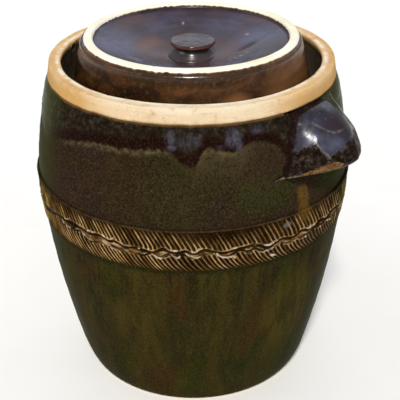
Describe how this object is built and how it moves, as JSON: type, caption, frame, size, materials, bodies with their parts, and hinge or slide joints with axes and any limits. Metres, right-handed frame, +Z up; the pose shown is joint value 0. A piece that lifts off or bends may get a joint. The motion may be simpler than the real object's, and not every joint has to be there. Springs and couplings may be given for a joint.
{
  "type": "fermentation crock",
  "caption": "Stoneware water-seal fermentation crock with lift-off dished lid, two lug handles, roulette band and loose weighting halves.",
  "frame": {"origin": "centre of the underside of the foot", "axes": "+Z up along the crock's axis, the two handles on +X and -X, the weighting halves split along X"},
  "size_m": [0.331, 0.2766, 0.31],
  "materials": {
    "crock_glaze": "glossy brown glaze, bare tan clay at the rim",
    "collar_glaze": "glossy dark glaze",
    "band_glaze": "thin brown glaze broken to ochre on the ribs",
    "handle_glaze": "glossy brown-black glaze",
    "lid_glaze": "glossy aubergine-brown glaze, bare cream ring",
    "knob_glaze": "glossy dark brown glaze",
    "weight_glaze": "dense unglazed stoneware"
  },
  "bodies": {
    "crock": {"crock_body": "crock_glaze", "neck_collar": "collar_glaze", "decor_band": "band_glaze", "handle_right": "handle_glaze", "handle_left": "handle_glaze"},
    "lid": {"lid": "lid_glaze", "lid_knob": "knob_glaze"},
    "weight_front": {"weight_half_front": "weight_glaze"},
    "weight_back": {"weight_half_back": "weight_glaze"}
  },
  "joints": [
    {"name": "lid_lift", "type": "slide", "parent": "crock", "child": "lid", "axis": [0, 0, 1], "range_m": [0, 0.18]},
    {"name": "weight_front_rise", "type": "slide", "parent": "crock", "child": "weight_front", "axis": [0, 0, 1], "range_m": [0, 0.19]},
    {"name": "weight_back_rise", "type": "slide", "parent": "crock", "child": "weight_back", "axis": [0, 0, 1], "range_m": [0, 0.19]}
  ]
}
